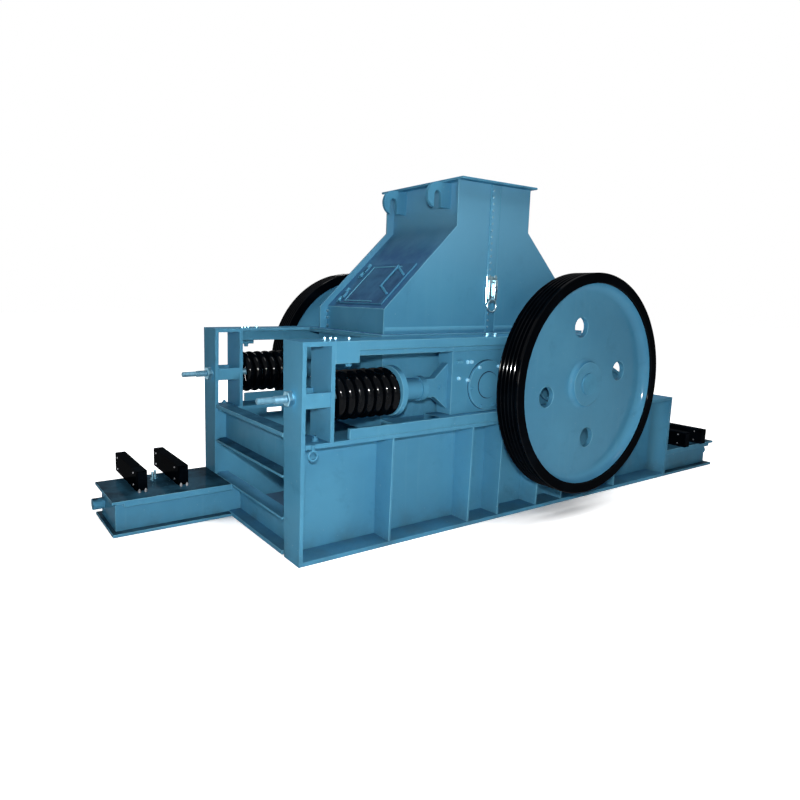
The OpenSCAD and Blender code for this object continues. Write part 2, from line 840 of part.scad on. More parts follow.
// Half profile of the grooved rim, radius against width
module rim_profile() {
  r2 = sheave_d / 2;
  r1 = r2 - rim_t;
  difference() {
    translate([r1, 0]) square([rim_t, sheave_w]);
    for (i = [0 : groove_count - 1]) {
      y = groove_start + i * groove_pitch;
      polygon([
        [r2 + 1, y - groove_w / 2], [r2 + 1, y + groove_w / 2],
        [r2 - groove_depth, y + groove_root / 2], [r2 - groove_depth, y - groove_root / 2]
      ]);
    }
  }
}

// Black grooved rim, on the +Y side
module sheave_rim(x) {
  translate([x, sheave_out - sheave_w, shaft_z]) rotate([-90, 0, 0])
    rotate_extrude($fn = fine) rim_profile();
}

// Points of a hollow quarter round, from the wall down to the floor
function fillet(r) = [for (a = [0 : 15 : 90]) [r * (1 - cos(a)), r * (1 - sin(a))]];

// Dished disc with hub and four round holes, turned a little from the level
module sheave_disc(x) {
  r1 = sheave_d / 2 - rim_t;
  hub_r = sheave_hub_d / 2;
  y2 = sheave_w - disc_inset;
  y1 = y2 - disc_t;
  y3 = y2 + hub_rise;
  outer = [for (p = fillet(rim_fillet)) [r1 - p[0], y2 + p[1]]];
  foot = [for (p = fillet(hub_fillet)) [hub_r + p[0], y2 + p[1]]];
  inner = [for (p = fillet(hub_fillet)) [r1 - p[0], y1 - p[1]]];
  translate([x, sheave_out - sheave_w, shaft_z]) rotate([-90, 0, 0]) difference() {
    rotate_extrude($fn = fine) polygon(concat(
      [[shaft_d / 2, 0], [hub_r, 0], [hub_r, y1]],
      [for (i = [len(inner) - 1 : -1 : 0]) inner[i]],
      outer,
      [for (i = [len(foot) - 1 : -1 : 0]) foot[i]],
      [[hub_r, y3], [shaft_d / 2, y3]]
    ));
    for (i = [0 : 3]) rotate([0, 0, 90 * i - hole_turn]) translate([hole_r, 0, 0])
      cylinder(h = 2 * sheave_w, d = hole_d, $fn = 64);
  }
}

// ---- nodes ----

paint = [0.30, 0.55, 0.68];
black = [0.05, 0.05, 0.06];
steel = [0.55, 0.57, 0.60];

module girder_near() { color(paint) side(true) girder(); }
module girder_far() { color(paint) side(false) girder(); }
module ribs_near() { color(paint) side(true) ribs(); }
module ribs_far() { color(paint) side(false) ribs(); }
module column_near() { color(paint) side(true) column(); }
module column_far() { color(paint) side(false) column(); }
module tail_post_near() { color(paint) side(true) tail_post(); }
module tail_post_far() { color(paint) side(false) tail_post(); }
module top_beam_near() { color(paint) side(true) top_beam(); }
module top_beam_far() { color(paint) side(false) top_beam(); }
module guide_rail_near() { color(paint) side(true) guide_rail(); }
module guide_rail_far() { color(paint) side(false) guide_rail(); }
module upper_channel() { color(paint) upper_channel_shape(); }
module lower_channel() { color(paint) lower_channel_shape(); }
module tail_channel() { color(paint) tail_channel_shape(); }
module motor_base_left() {
  color(paint) {
    motor_base();
    base_tongue();
  }
}
module motor_base_right() { color(paint) rotate([0, 0, 180]) motor_base(); }
module motor_rails_left() { color(black) motor_rails(left_over); }
module motor_rails_right() { color(black) rotate([0, 0, 180]) motor_rails(right_over); }
module casing() { color(paint) casing_shape(); }
module hopper() { color(paint) hopper_shape(); }
module hopper_rim() { color(paint) hopper_rim_shape(); }
module lifting_lugs() { color(paint) lifting_lugs_shape(); }
module hatch_hinges() { color(steel) hatch_hinges_shape(); }
module hatch() { color(paint) hatch_shape(); }
module fixed_bearing_near() { color(paint) side(true) bearing_block(fixed_x, true); }
module fixed_bearing_far() { color(paint) side(false) bearing_block(fixed_x, false); }
module slide_bearing_near() { color(paint) side(true) bearing_block(slide_x, false); }
module slide_bearing_far() { color(paint) side(false) bearing_block(slide_x, true); }
module thrust_fork_near() { color(paint) side(true) thrust_fork(); }
module thrust_fork_far() { color(paint) side(false) thrust_fork(); }
module rod_near() { color(paint) side(true) rod(); }
module rod_far() { color(paint) side(false) rod(); }
module spring_near() { color(black) side(true) spring(); }
module spring_far() { color(black) side(false) spring(); }
module fixed_roll() { color(steel) roll(fixed_x); }
module fixed_shaft() { color(steel) side(true) shaft(fixed_x); }
module near_sheave_rim() { color(black) side(true) sheave_rim(fixed_x); }
module near_sheave_disc() { color(paint) side(true) sheave_disc(fixed_x); }
module slide_roll() { color(steel) roll(slide_x); }
module slide_shaft() { color(steel) side(false) shaft(slide_x); }
module far_sheave_rim() { color(black) side(false) sheave_rim(slide_x); }
module far_sheave_disc() { color(paint) side(false) sheave_disc(slide_x); }

girder_near();
girder_far();
ribs_near();
ribs_far();
column_near();
column_far();
tail_post_near();
tail_post_far();
top_beam_near();
top_beam_far();
guide_rail_near();
guide_rail_far();
upper_channel();
lower_channel();
tail_channel();
motor_base_left();
motor_base_right();
motor_rails_left();
motor_rails_right();
casing();
hopper();
hopper_rim();
lifting_lugs();
hatch_hinges();
hatch();
fixed_bearing_near();
fixed_bearing_far();
slide_bearing_near();
slide_bearing_far();
thrust_fork_near();
thrust_fork_far();
rod_near();
rod_far();
spring_near();
spring_far();
fixed_roll();
fixed_shaft();
near_sheave_rim();
near_sheave_disc();
slide_roll();
slide_shaft();
far_sheave_rim();
far_sheave_disc();
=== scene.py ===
import json
import math
from fnmatch import fnmatchcase
import bmesh
import bpy
from mathutils import Matrix, Vector

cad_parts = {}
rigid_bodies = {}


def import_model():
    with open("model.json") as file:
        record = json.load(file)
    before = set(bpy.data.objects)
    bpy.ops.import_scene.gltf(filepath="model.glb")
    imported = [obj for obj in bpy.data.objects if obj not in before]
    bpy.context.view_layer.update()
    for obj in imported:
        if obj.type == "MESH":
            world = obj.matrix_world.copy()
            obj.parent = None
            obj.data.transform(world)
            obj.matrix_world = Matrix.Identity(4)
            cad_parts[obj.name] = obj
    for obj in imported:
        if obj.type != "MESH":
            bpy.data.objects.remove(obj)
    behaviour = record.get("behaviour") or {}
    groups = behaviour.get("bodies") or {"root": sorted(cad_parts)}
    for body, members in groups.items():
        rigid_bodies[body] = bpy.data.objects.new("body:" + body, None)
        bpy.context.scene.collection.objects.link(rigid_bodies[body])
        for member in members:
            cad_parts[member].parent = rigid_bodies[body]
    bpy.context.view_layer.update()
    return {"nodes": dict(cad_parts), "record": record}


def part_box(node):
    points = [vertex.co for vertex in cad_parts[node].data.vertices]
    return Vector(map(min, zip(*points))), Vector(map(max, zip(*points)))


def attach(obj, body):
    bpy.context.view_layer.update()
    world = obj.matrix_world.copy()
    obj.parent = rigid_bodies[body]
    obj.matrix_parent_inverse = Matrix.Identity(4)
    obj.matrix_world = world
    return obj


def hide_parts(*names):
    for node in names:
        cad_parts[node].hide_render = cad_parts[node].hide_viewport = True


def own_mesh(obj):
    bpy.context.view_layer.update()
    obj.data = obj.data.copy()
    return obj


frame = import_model()
nodes = frame["nodes"]
rides_on = {n: b for b, names in frame["record"]["behaviour"]["bodies"].items() for n in names}
slot_of = {part["node"]: part["material_slot"] for part in frame["record"]["subparts"]}
for chosen in list(bpy.data.objects):
    if chosen.type in {"CAMERA", "LIGHT"}:
        bpy.data.objects.remove(chosen)

X, Y, Z = Vector((1, 0, 0)), Vector((0, 1, 0)), Vector((0, 0, 1))
WAYS = {"near": -1, "far": 1}
WASHER_T = 0.003
COAT_ROUGHNESS = 0.09

PAINT_LIGHT = (0.092, 0.318, 0.486, 1.0)
PAINT_DEEP = (0.076, 0.275, 0.434, 1.0)
# painted shade: the darker colour that up-facing faces of the paints blend to
PAINT_TOP_SHADE = (0.045, 0.165, 0.285, 1.0)
STAIN = (0.040, 0.14, 0.22, 1.0)
RUN = (0.15, 0.38, 0.50, 1.0)
GROUND_DUST = (0.060, 0.13, 0.17, 1.0)
SPECK = (0.22, 0.42, 0.52, 1.0)
# lighter colour of eased edges: partly wear, partly a painted highlight
RUBBED_AND_LIT_EDGE = (0.16, 0.42, 0.56, 1.0)
WHITE = (1.0, 1.0, 1.0, 1.0)
FLOOR_TONES = (0.80, 0.80, 0.80, 1.0), (0.83, 0.83, 0.83, 1.0)
FLOOR_SHADE = (0.045, 0.120, 0.200, 1.0)
SKY = (0.74, 0.87, 1.0, 1.0)


# ---- shader steps ----

def shader(name):
    """A new material with its tree, its surface and its object coordinates."""
    paint = bpy.data.materials.new(name)
    paint.use_nodes = True
    tree = paint.node_tree
    surface = tree.nodes["Principled BSDF"]
    place = tree.nodes.new("ShaderNodeTexCoord")
    place.name = "Texture Coordinate"
    return paint, tree, surface, place.outputs["Object"]


def feed(tree, value, socket):
    """Link a value that comes from a node, or write a plain number or colour."""
    if hasattr(value, "links"):
        tree.links.new(value, socket)
    else:
        socket.default_value = value


def mapping(tree, source, scale):
    turn = tree.nodes.new("ShaderNodeMapping")
    turn.inputs["Scale"].default_value = scale
    tree.links.new(source, turn.inputs["Vector"])
    return turn.outputs["Vector"]


def noise(tree, source, scale, detail=3.0, rough=0.5, warp=0.0):
    grain = tree.nodes.new("ShaderNodeTexNoise")
    grain.inputs["Scale"].default_value = scale
    grain.inputs["Detail"].default_value = detail
    grain.inputs["Roughness"].default_value = rough
    grain.inputs["Distortion"].default_value = warp
    tree.links.new(source, grain.inputs["Vector"])
    return grain.outputs["Fac"]


def spread(tree, value, low, high, to_low=0.0, to_high=1.0):
    """Map low..high smoothly to to_low..to_high."""
    span = tree.nodes.new("ShaderNodeMapRange")
    span.interpolation_type = "SMOOTHSTEP"
    for key, number in (("From Min", low), ("From Max", high), ("To Min", to_low), ("To Max", to_high)):
        span.inputs[key].default_value = number
    tree.links.new(value, span.inputs["Value"])
    return span.outputs["Result"]


def blended(tree, amount, first, second):
    """The first colour at amount 0, the second at 1."""
    mix = tree.nodes.new("ShaderNodeMix")
    mix.data_type = "RGBA"
    for socket, value in ((mix.inputs[0], amount), (mix.inputs[6], first), (mix.inputs[7], second)):
        feed(tree, value, socket)
    return mix.outputs[2]


def calculated(tree, operation, *values):
    step = tree.nodes.new("ShaderNodeMath")
    step.operation = operation
    for socket, value in zip(step.inputs, values):
        feed(tree, value, socket)
    return step.outputs[0]


def split(tree, source):
    axes = tree.nodes.new("ShaderNodeSeparateXYZ")
    tree.links.new(source, axes.inputs[0])
    return axes.outputs


def normal(tree):
    return split(tree, tree.nodes["Texture Coordinate"].outputs["Normal"])


def relief(tree, surface, height, strength, distance):
    bump = tree.nodes.new("ShaderNodeBump")
    bump.inputs["Strength"].default_value = strength
    bump.inputs["Distance"].default_value = distance
    tree.links.new(height, bump.inputs["Height"])
    tree.links.new(bump.outputs["Normal"], surface.inputs["Normal"])


# ---- paint and metal ----

def machine_paint(name, light=PAINT_LIGHT, deep=PAINT_DEEP, top=PAINT_TOP_SHADE, top_shade_amount=0.75, grime=0.5,
                  level=(0.45, 0.95), painted_light_high=None, coat=0.06):
    """Satin machine paint: cloudy coats, stains, runs, specks, rubbed edges that are also lightened as a
    painted highlight, painted shade on up-facing faces and dust near the ground; painted_light_high is painted
    light, a lighter colour high up."""
    paint, tree, surface, place = shader(name)
    height = split(tree, place)["Z"]
    cloud = spread(tree, noise(tree, place, scale=1.6, detail=4.0, rough=0.55), 0.35, 0.65)
    colour = blended(tree, cloud, deep, light)
    stains = noise(tree, place, scale=8.0, detail=6.0, rough=0.62, warp=0.5)
    colour = blended(tree, spread(tree, stains, 0.54, 0.80, to_high=0.30), colour, STAIN)
    runs = noise(tree, mapping(tree, place, (30.0, 30.0, 1.4)), scale=1.0)
    colour = blended(tree, spread(tree, runs, 0.56, 0.80, to_high=0.16), colour, RUN)
    # painted light: the colour turns lighter towards the top of the piece
    if painted_light_high:
        colour = blended(tree, spread(tree, height, 1.15, 1.62, to_high=0.9), colour, painted_light_high)
    # painted shade: up-facing faces blend, in patches, to the top colour
    facing_up_shade = spread(tree, normal(tree)["Z"], *level, to_high=top_shade_amount)
    patchy_top_shade = spread(tree, noise(tree, place, scale=6.0, detail=5.0, rough=0.6), 0.3, 0.7, 0.72, 1.0)
    colour = blended(tree, calculated(tree, "MULTIPLY", facing_up_shade, patchy_top_shade), colour, top)
    low = spread(tree, height, 0.0, 0.16, grime, 0.0)
    patches = spread(tree, noise(tree, place, scale=5.5, detail=5.0, rough=0.62), 0.38, 0.7, 0.1, 1.0)
    colour = blended(tree, calculated(tree, "MULTIPLY", low, patches), colour, GROUND_DUST)
    specks = spread(tree, noise(tree, place, scale=70.0, detail=2.0), 0.72, 0.78, to_high=0.5)
    colour = blended(tree, specks, colour, SPECK)
    # eased edges turn lighter: partly wear, partly a painted highlight
    edge = tree.nodes.new("ShaderNodeAttribute")
    edge.attribute_name = "edge_wear_and_highlight"
    worn_and_lit = spread(tree, noise(tree, place, scale=9.0, detail=4.0, rough=0.6), 0.3, 0.7, 0.35, 0.9)
    colour = blended(tree, calculated(tree, "MULTIPLY", edge.outputs["Fac"], worn_and_lit), colour, RUBBED_AND_LIT_EDGE)
    tree.links.new(colour, surface.inputs["Base Color"])
    surface.inputs["Coat Weight"].default_value = coat
    surface.inputs["Coat Roughness"].default_value = COAT_ROUGHNESS
    gloss = spread(tree, noise(tree, place, scale=7.0, detail=4.0, rough=0.6), 0.3, 0.7, 0.44, 0.58)
    tree.links.new(gloss, surface.inputs["Roughness"])
    surface.inputs["Specular IOR Level"].default_value = 0.0
    relief(tree, surface, noise(tree, place, scale=150.0, detail=2.0), strength=0.12, distance=0.0008)
    return paint


def gloss_black(name, smooth=0.16, rough=0.24, shine=0.0, dust=0.0020, coat=0.14, dull_sides=False):
    """Black gloss paint with a little dust; dull_sides takes the gloss off the faces across the frame."""
    paint, tree, surface, place = shader(name)
    cloud = spread(tree, noise(tree, place, scale=6.0, detail=5.0, rough=0.6), 0.45, 0.80)
    clean, dusty = (0.3 * dust, 0.6 * dust, 1.1 * dust, 1.0), (dust, 1.9 * dust, 3.2 * dust, 1.0)
    tree.links.new(blended(tree, cloud, clean, dusty), surface.inputs["Base Color"])
    gloss = spread(tree, noise(tree, place, scale=11.0, detail=4.0, rough=0.6), 0.3, 0.7, smooth, rough)
    tree.links.new(gloss, surface.inputs["Roughness"])
    surface.inputs["Specular IOR Level"].default_value = shine
    surface.inputs["Coat Weight"].default_value = coat
    if dull_sides:
        sideways = calculated(tree, "ABSOLUTE", normal(tree)["Y"])
        tree.links.new(spread(tree, sideways, 0.70, 0.98, coat, 0.15 * coat), surface.inputs["Coat Weight"])
    surface.inputs["Coat Roughness"].default_value = COAT_ROUGHNESS
    relief(tree, surface, noise(tree, place, scale=120.0, detail=2.0), strength=0.06, distance=0.0008)
    return paint


def metal(name, light, dark, smooth, rough, grain_scale=(40.0, 40.0, 40.0), bare=1.0):
    """Metal with a grain; bare is how metallic it is."""
    steel, tree, surface, place = shader(name)
    grain = noise(tree, mapping(tree, place, grain_scale), scale=1.0, detail=5.0, rough=0.6)
    tree.links.new(blended(tree, spread(tree, grain, 0.35, 0.7), light, dark), surface.inputs["Base Color"])
    gloss = spread(tree, noise(tree, place, scale=30.0, detail=4.0, rough=0.6), 0.3, 0.7, smooth, rough)
    tree.links.new(gloss, surface.inputs["Roughness"])
    surface.inputs["Metallic"].default_value = bare
    relief(tree, surface, noise(tree, place, scale=220.0, rough=0.6), strength=0.15, distance=0.0006)
    return steel


blue = machine_paint("light_blue_paint")
# painted shade on its up-facing and sloping faces, and painted light towards the top of the hopper
hopper_blue = machine_paint("hopper_blue_paint", top=(0.034, 0.110, 0.240, 1.0), top_shade_amount=1.0,
                            level=(0.40, 0.68), painted_light_high=(0.145, 0.400, 0.590, 1.0))
# painted shade on its up-facing and sloping faces
hatch_blue = machine_paint("hatch_paint", top=(0.028, 0.084, 0.188, 1.0), top_shade_amount=1.0, level=(0.40, 0.68))
# painted shade on its up-facing faces
channel_blue = machine_paint("channel_paint", top=(0.022, 0.080, 0.140, 1.0), top_shade_amount=1.0)
# lighter than the frame paint, as painted light on the lower channel, with painted shade on its up-facing faces
low_channel_painted_light_blue = machine_paint("low_channel_painted_light_paint", light=(0.098, 0.340, 0.520, 1.0),
                                 deep=(0.084, 0.300, 0.470, 1.0), top=(0.055, 0.190, 0.320, 1.0),
                                 top_shade_amount=1.0)
sheave_blue = machine_paint("sheave_paint", light=(0.090, 0.312, 0.478, 1.0), deep=(0.074, 0.270, 0.428, 1.0),
                            coat=0.16)
# painted shade: darker than the frame paint, with a very dark top
base_blue = machine_paint("motor_base_paint", light=(0.086, 0.298, 0.459, 1.0), deep=(0.070, 0.256, 0.410, 1.0),
                          top=(0.010, 0.034, 0.056, 1.0), top_shade_amount=1.0)
# painted highlight: a lighter copy of the frame paint for beads, bars and painted screws
bead_highlight_blue = machine_paint("bead_highlight_paint", light=(0.125, 0.390, 0.560, 1.0), deep=(0.105, 0.345, 0.510, 1.0),
                          top=(0.060, 0.210, 0.340, 1.0))
black = gloss_black("gloss_black_paint")
rim_black = gloss_black("sheave_rim_paint", coat=0.11, dull_sides=True)
spring_black = gloss_black("spring_paint", coat=0.12)
rail_black = gloss_black("rail_black_paint", smooth=0.50, rough=0.65, dust=0.0035, coat=0.01)
# dark rubber for the rings round the bearing covers, which stand in for the shade in those gaps
gap_shade_rubber = gloss_black("seal_and_gap_shade_rubber", smooth=0.35, rough=0.50, shine=0.02, dust=0.0420, coat=0.0)
zinc = metal("zinc_plate", (0.20, 0.40, 0.50, 1.0), (0.12, 0.26, 0.34, 1.0), smooth=0.28, rough=0.45)
bright_plate = metal("bright_plate", (0.34, 0.52, 0.58, 1.0), (0.18, 0.29, 0.34, 1.0), smooth=0.24, rough=0.40)
dull_bolt = metal("dull_bolt_steel", (0.30, 0.31, 0.32, 1.0), (0.16, 0.16, 0.17, 1.0), smooth=0.35, rough=0.55)
worn_steel = metal("worn_roll_steel", (0.34, 0.33, 0.32, 1.0), (0.13, 0.11, 0.10, 1.0), smooth=0.35, rough=0.60,
                   grain_scale=(9.0, 60.0, 9.0))
plated_screw = metal("plated_screw", (0.36, 0.72, 0.90, 1.0), (0.26, 0.54, 0.70, 1.0), smooth=0.30, rough=0.50,
                     bare=0.30)
rod_steel = metal("plated_rod_steel", (0.09, 0.25, 0.35, 1.0), (0.06, 0.19, 0.28, 1.0), smooth=0.40, rough=0.55,
                  grain_scale=(90.0, 6.0, 6.0), bare=0.22)
bright_steel = metal("turned_steel", (0.55, 0.56, 0.58, 1.0), (0.36, 0.37, 0.39, 1.0), smooth=0.22, rough=0.40,
                     grain_scale=(90.0, 6.0, 90.0))

OWN_FINISHES = (("hopper", hopper_blue), ("hatch", hatch_blue), ("motor_base*", base_blue),
                ("*_sheave_disc", sheave_blue), ("*_sheave_rim", rim_black), ("spring_*", spring_black),
                ("upper_channel", channel_blue), ("lower_channel", low_channel_painted_light_blue),
                ("motor_rails*", rail_black), ("*_roll", worn_steel), ("*_shaft", blue), ("hatch_hinges", blue))
SLOT_FINISHES = {"black_paint": black, "bare_steel": bright_steel, "blue_paint": blue}


def finish_for(node):
    """A CAD piece's own finish where the list above has one, else its slot's."""
    own = [finish for pattern, finish in OWN_FINISHES if fnmatchcase(node, pattern)]
    return own[0] if own else SLOT_FINISHES[slot_of[node]]


finish_of = {node: finish_for(node) for node in slot_of}
for node, finish in finish_of.items():
    nodes[node].data.materials.clear()
    nodes[node].data.materials.append(finish)


# ---- making pieces ----

def piece(name, mesh, body, finish, sharp=35.0):
    """Make the mesh a smooth-shaded piece that rides on the body; edges over sharp degrees stay sharp."""
    bmesh.ops.remove_doubles(mesh, verts=mesh.verts, dist=1e-6)
    data = bpy.data.meshes.new(name)
    mesh.to_mesh(data)
    mesh.free()
    for face in data.polygons:
        face.use_smooth = True
    data.set_sharp_from_angle(angle=math.radians(sharp))
    data.materials.append(finish)
    made = bpy.data.objects.new(name, data)
    bpy.context.scene.collection.objects.link(made)
    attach(made, body)
    return made


def bevel(mesh, edges, width, segments, clamp=False):
    return bmesh.ops.bevel(mesh, geom=edges, offset=width, offset_type="OFFSET", segments=segments,
                           profile=0.5, affect="EDGES", clamp_overlap=clamp, material=-1)


def edges_between(mesh, corners):
    """The edges that join the given corners, in the mesh's own order."""
    corners = set(corners)
    return [edge for edge in mesh.edges if corners.issuperset(edge.verts)]


def block(mesh, centre, size, ease, segments):
    """A rectangular bar with eased edges."""
    place = Matrix.Translation(centre) @ Matrix.Diagonal((*size, 1.0))
    made = bmesh.ops.create_cube(mesh, size=1.0, matrix=place)
    bevel(mesh, edges_between(mesh, made["verts"]), ease, segments)


def round_bar(mesh, place, radius, length, segments, tip=None):
    """A bar along the Z of place and centred on it; tip is its radius at the far end where that differs."""
    bmesh.ops.create_cone(mesh, cap_ends=True, segments=segments, radius1=radius,
                          radius2=radius if tip is None else tip, depth=length, matrix=place)


def wire_ring(mesh, centre, radius, wire, segments, steps):
    """A ring of round wire about the Y axis."""
    loop = bmesh.ops.create_circle(mesh, cap_ends=False, segments=segments, radius=wire,
                                   matrix=Matrix.Translation(centre + X * radius))
    bmesh.ops.spin(mesh, geom=loop["verts"] + edges_between(mesh, loop["verts"]), cent=centre, axis=Y,
                   angle=math.tau, steps=steps, use_merge=True)


def turned(outline, centre, axis, steps, closed=False):
    """A mesh turned about the axis from an outline, which is closed or ends on the axis."""
    mesh = bmesh.new()
    ring = [mesh.verts.new(point) for point in outline]
    edges = [mesh.edges.new(pair) for pair in zip(ring, ring[1:] + (ring[:1] if closed else []))]
    bmesh.ops.spin(mesh, geom=ring + edges, cent=centre, axis=axis, angle=math.tau, steps=steps,
                   use_merge=True)
    return mesh


def eased(node, width=0.0025, sharp=30.0):
    """The CAD piece with its plate edges eased."""
    mesh = bmesh.new()
    mesh.from_mesh(nodes[node].data)
    bmesh.ops.remove_doubles(mesh, verts=mesh.verts, dist=2e-5)
    bmesh.ops.dissolve_limit(mesh, angle_limit=math.radians(0.6), verts=mesh.verts, edges=mesh.edges)
    edges = [e for e in mesh.edges if len(e.link_faces) == 2 and e.calc_face_angle(0.0) > math.radians(sharp)
             and e.is_convex and e.calc_length() > 2.5 * width]
    # the eased edge faces are marked for a lighter paint: partly wear, partly a painted highlight
    lit_edge_layer = mesh.faces.layers.float.new("edge_wear_and_highlight")
    for face in bevel(mesh, edges, width, segments=2, clamp=True)["faces"]:
        face[lit_edge_layer] = 1.0
    made = piece(node + "_plate", mesh, rides_on[node], finish_of[node])
    even = made.modifiers.new("even_shading", "WEIGHTED_NORMAL")
    even.keep_sharp = True
    even.weight = 50
    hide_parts(node)


def standing(at, direction, rise):
    """Place of a turned piece whose middle lies rise along direction from at."""
    facing = direction.to_track_quat("Z", "X").to_matrix().to_4x4()
    return Matrix.Translation(at) @ facing @ Matrix.Translation((0.0, 0.0, rise))


def hex_head(mesh, at, direction, flats, height, washer=0.0, washer_t=WASHER_T):
    """A bolt head or nut with chamfered corners, on a washer where washer gives its width."""
    along = direction.normalized()
    if washer:
        round_bar(mesh, standing(at, along, washer_t / 2), washer / 2, washer_t, 20)
        at = at + along * washer_t
    corner = flats / 2 / math.cos(math.radians(30))
    round_bar(mesh, standing(at, along, height / 2), corner, height, 6)
    top = at + along * height
    rim = [e for e in mesh.edges if all(abs((v.co - top).dot(along)) < 1e-5
                                        and (v.co - top).length < corner * 1.05 for v in e.verts)]
    bevel(mesh, rim, height * 0.16, segments=1)


def stud_end(mesh, at, direction, width, length):
    """A bolt's end past its nut, with a chamfered tip."""
    chamfer = 0.12 * width
    round_bar(mesh, standing(at, direction, length / 2), width / 2, length, 16)
    round_bar(mesh, standing(at, direction, length + chamfer / 2), width / 2, chamfer, 16, tip=0.38 * width)


def bolts(name, body, places, flats, height, washer=0.0, end=0.0, finish=zinc, slot="bare_steel"):
    """One piece of bolt heads at the places, each a point and a direction; end stands past the nut."""
    mesh = bmesh.new()
    for at, direction in places:
        at, direction = Vector(at), Vector(direction)
        hex_head(mesh, at, direction, flats, height, washer)
        if end:
            stud_end(mesh, at + direction * (height + WASHER_T), direction, flats * 0.62, end)
    return piece(name, mesh, body, finish, 25.0)


# ---- compression springs ----

def helix_spring(side):
    """A spring with closed and ground ends between the column and the spring seat."""
    wire, turns, travel = 0.046, 5, 0.030
    wire_segments, turn_steps, start_angle = 20, 44, -60
    node = "spring_" + side
    low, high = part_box(node)
    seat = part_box("thrust_fork_" + side)[0].x
    middle = Vector((0, (low.y + high.y) / 2, (low.z + high.z) / 2))
    outer = (high.z - low.z) / 2
    start, length = low.x, seat - low.x
    grind = wire * 0.3
    pitch = (length - 2 * (wire / 2 - grind) - 2 * wire) / turns
    mesh = bmesh.new()
    first = Matrix.Translation(middle) @ Matrix.Rotation(math.radians(start_angle), 4, "X")
    first = first @ Matrix.Translation((start + wire / 2 - grind, outer - wire / 2, 0))
    ring = bmesh.ops.create_circle(mesh, cap_ends=False, segments=wire_segments, radius=wire / 2, matrix=first)
    geom = ring["verts"] + list(mesh.edges)
    for count, lead in ((1, wire), (turns, pitch), (1, wire)):
        done = bmesh.ops.spin(mesh, geom=geom, cent=middle, axis=X, dvec=X * (lead / turn_steps),
                              angle=math.tau * count, steps=turn_steps * count, use_merge=False)
        geom = done["geom_last"]
    bmesh.ops.holes_fill(mesh, edges=[e for e in mesh.edges if e.is_boundary], sides=0)
    bmesh.ops.recalc_face_normals(mesh, faces=mesh.faces)
    for at, out in ((start, -X), (start + length, X)):
        cut = bmesh.ops.bisect_plane(mesh, geom=mesh.verts[:] + mesh.edges[:] + mesh.faces[:], dist=1e-6,
                                     plane_co=(at, 0, 0), plane_no=out, clear_outer=True)
        open_edges = [e for e in cut["geom_cut"]
                      if isinstance(e, bmesh.types.BMEdge) and e.is_valid and e.is_boundary]
        bmesh.ops.holes_fill(mesh, edges=open_edges, sides=0)
    bmesh.ops.recalc_face_normals(mesh, faces=mesh.faces)
    made = piece("coil_spring_" + side, mesh, rides_on[node], finish_of[node], 50.0)
    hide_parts(node)
    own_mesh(made)


# ---- grooved sheave rims ----

def grooved_rim(side):
    """The sheave's rim turned with its five belt grooves."""
    depth, chamfer, back_chamfer = 0.055, 0.003, 0.002
    grooves, first, pitch = 5, 0.016, 0.024
    mouth, lip, root = 0.010, 0.0086, 0.0048
    lip_depth, root_depth, groove_depth = 0.0012, 0.0165, 0.0175
    node = side + "_sheave_rim"
    low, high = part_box(node)
    centre = Vector(((low.x + high.x) / 2, 0, (low.z + high.z) / 2))
    outer = (high.z - low.z) / 2
    inner_edge = min(abs(low.y), abs(high.y))
    width = high.y - low.y
    bore = outer - depth
    outline = [(bore, 0.0), (outer - chamfer, 0.0), (outer, chamfer)]
    for middle in (first + pitch * groove for groove in range(grooves)):
        outline += [(outer, middle - mouth), (outer - lip_depth, middle - lip),
                    (outer - root_depth, middle - root), (outer - groove_depth, middle),
                    (outer - root_depth, middle + root), (outer - lip_depth, middle + lip),
                    (outer, middle + mouth)]
    outline += [(outer, width - chamfer), (outer - chamfer, width), (bore + back_chamfer, width),
                (bore, width - back_chamfer)]
    mesh = turned([(centre.x + r, WAYS[side] * (inner_edge + a), centre.z) for r, a in outline], centre, Y,
                  steps=192, closed=True)
    bmesh.ops.recalc_face_normals(mesh, faces=mesh.faces)
    made = piece(side + "_grooved_rim", mesh, rides_on[node], finish_of[node], 28.0)
    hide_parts(node)


# ---- threaded tie rods ----

def threaded_rod(side):
    """Rod turned with a thread where it leaves the column, its nut on a washer, its inner end plain."""
    full, tip, step = 0.018, 0.0145, 0.080
    thread_pitch, thread_depth, chamfer, tip_chamfer = 0.004, 0.0016, 0.002, 0.003
    node = "rod_" + side
    low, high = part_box(node)
    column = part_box("column_" + side)[0].x
    centre = Vector((0, (low.y + high.y) / 2, (low.z + high.z) / 2))
    outline = [(low.x, 0.0), (low.x, tip - tip_chamfer), (low.x + tip_chamfer, tip), (low.x + step, tip)]
    x = low.x + step + thread_pitch / 2
    while x < column - 1.5 * thread_pitch:
        outline += [(x, full - thread_depth), (x + thread_pitch / 2, full),
                    (x + thread_pitch, full - thread_depth)]
        x += thread_pitch
    outline += [(column, full), (high.x - chamfer, full), (high.x, full - chamfer), (high.x, 0.0)]
    mesh = turned([(a, centre.y, centre.z + b) for a, b in outline], centre, X, steps=36)
    bmesh.ops.remove_doubles(mesh, verts=mesh.verts, dist=1e-5)
    bmesh.ops.recalc_face_normals(mesh, faces=mesh.faces)
    made = piece("tie_rod_" + side, mesh, rides_on[node], rod_steel, 30.0)
    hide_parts(node)
    nut = bmesh.new()
    hex_head(nut, Vector((column - 0.0005, centre.y, centre.z)), -X, flats=0.064, height=0.022, washer=0.072,
             washer_t=0.004)
    piece("tie_rod_nut_" + side, nut, rides_on[node], zinc, 25.0)


for side in WAYS:
    helix_spring(side)
for side in WAYS:
    grooved_rim(side)
for side in WAYS:
    threaded_rod(side)


# ---- plates with eased edges ----

